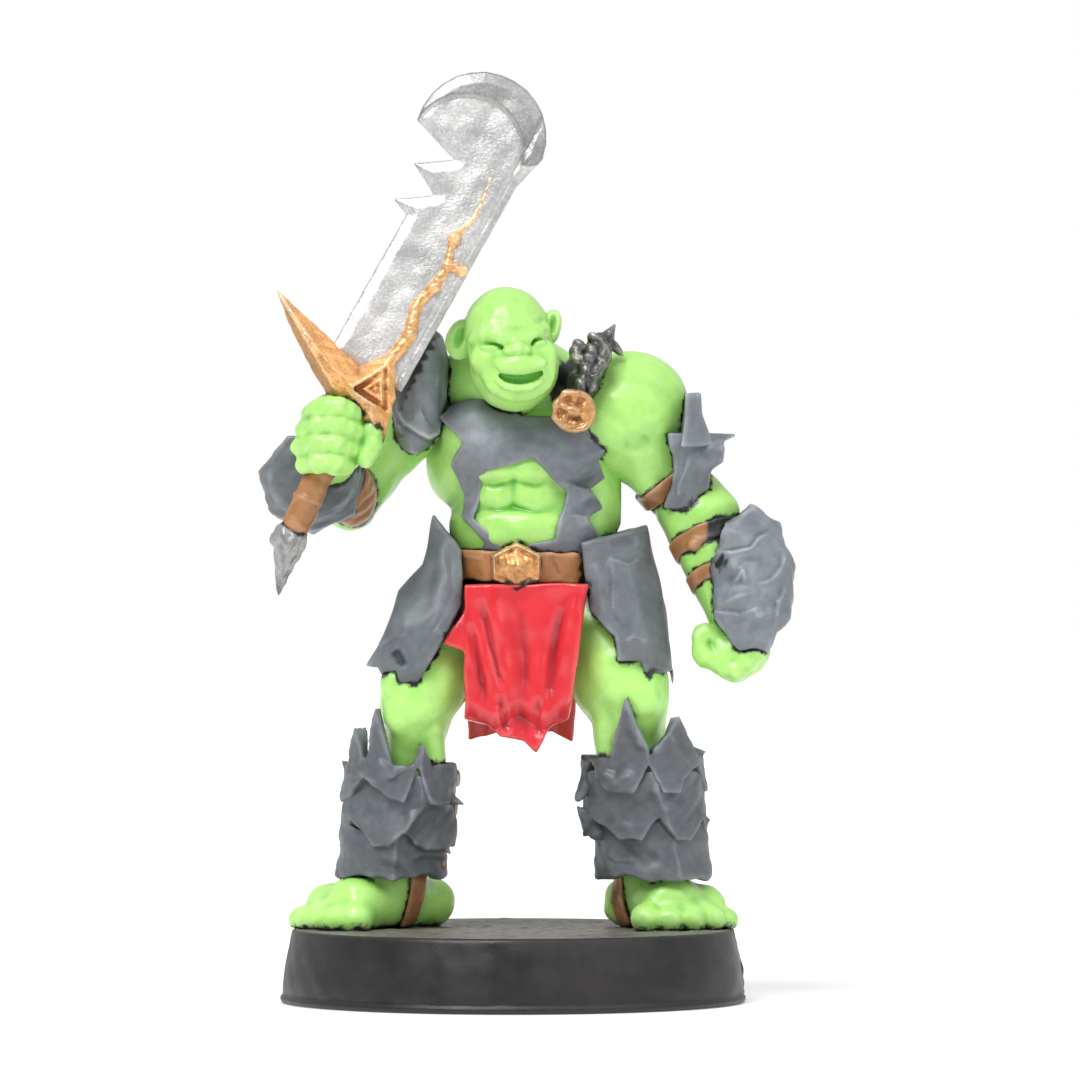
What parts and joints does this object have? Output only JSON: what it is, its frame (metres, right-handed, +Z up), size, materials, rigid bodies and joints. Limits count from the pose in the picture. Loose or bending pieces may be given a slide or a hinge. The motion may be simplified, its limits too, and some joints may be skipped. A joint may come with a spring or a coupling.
{
  "type": "painted miniature figure",
  "caption": "Painted tabletop miniature of an armoured ogre warrior raising a notched cleaver sword, standing with feet apart on a round tapered base.",
  "frame": {"origin": "centre of the base's flat underside", "axes": "+Z up out of the base, the figure faces -Y, and +X is the figure's own left"},
  "size_m": [0.0286, 0.025, 0.0497],
  "materials": {
    "skin_green": "satin acrylic paint, bright green, darker and more saturated in the recesses",
    "armour_grey": "satin acrylic paint, blue grey, paler along the ridges",
    "cloth_red": "satin acrylic paint, bright red, darker in the folds",
    "leather_brown": "satin acrylic paint, mid brown",
    "copper_paint": "metallic copper and bronze acrylic paint over the plastic",
    "silver_paint": "grainy metallic silver acrylic paint over the plastic",
    "gunmetal_paint": "dark metallic acrylic paint over the plastic",
    "base_black": "bare black styrene with a brushed, slightly glossy surface"
  },
  "bodies": {
    "root": {"right_foot": "skin_green", "left_foot": "skin_green", "right_leg": "skin_green", "left_leg": "skin_green", "head": "skin_green", "torso": "skin_green", "left_upper_arm": "skin_green", "left_forearm": "skin_green", "left_fist": "skin_green", "right_upper_arm": "skin_green", "right_forearm": "skin_green", "right_hand": "skin_green", "left_arm_guard_upper": "armour_grey", "left_arm_guard_lower": "armour_grey", "left_bracer": "armour_grey", "right_bracer": "armour_grey", "vest": "armour_grey", "right_shoulder_pad": "armour_grey", "right_tasset": "armour_grey", "left_tasset": "armour_grey", "right_greave_upper": "armour_grey", "right_greave_middle": "armour_grey", "right_greave_lower": "armour_grey", "left_greave_upper": "armour_grey", "left_greave_middle": "armour_grey", "left_greave_lower": "armour_grey", "loincloth": "cloth_red", "rear_cloth": "cloth_red", "right_foot_strap": "leather_brown", "left_foot_strap": "leather_brown", "left_elbow_strap": "leather_brown", "left_wrist_strap_upper": "leather_brown", "left_wrist_strap_lower": "leather_brown", "sword_grip": "leather_brown", "right_arm_band": "leather_brown", "belt": "leather_brown", "right_greave_strap_1": "leather_brown", "right_greave_strap_2": "leather_brown", "right_greave_strap_3": "leather_brown", "left_greave_strap_1": "leather_brown", "left_greave_strap_2": "leather_brown", "left_greave_strap_3": "leather_brown", "blade_inlay": "copper_paint", "sword_guard": "copper_paint", "medallion": "copper_paint", "belt_buckle": "copper_paint", "sword_blade": "silver_paint", "sword_pommel": "silver_paint", "shoulder_clasp": "gunmetal_paint", "base": "base_black", "hips": "base_black"}
  },
  "joints": []
}
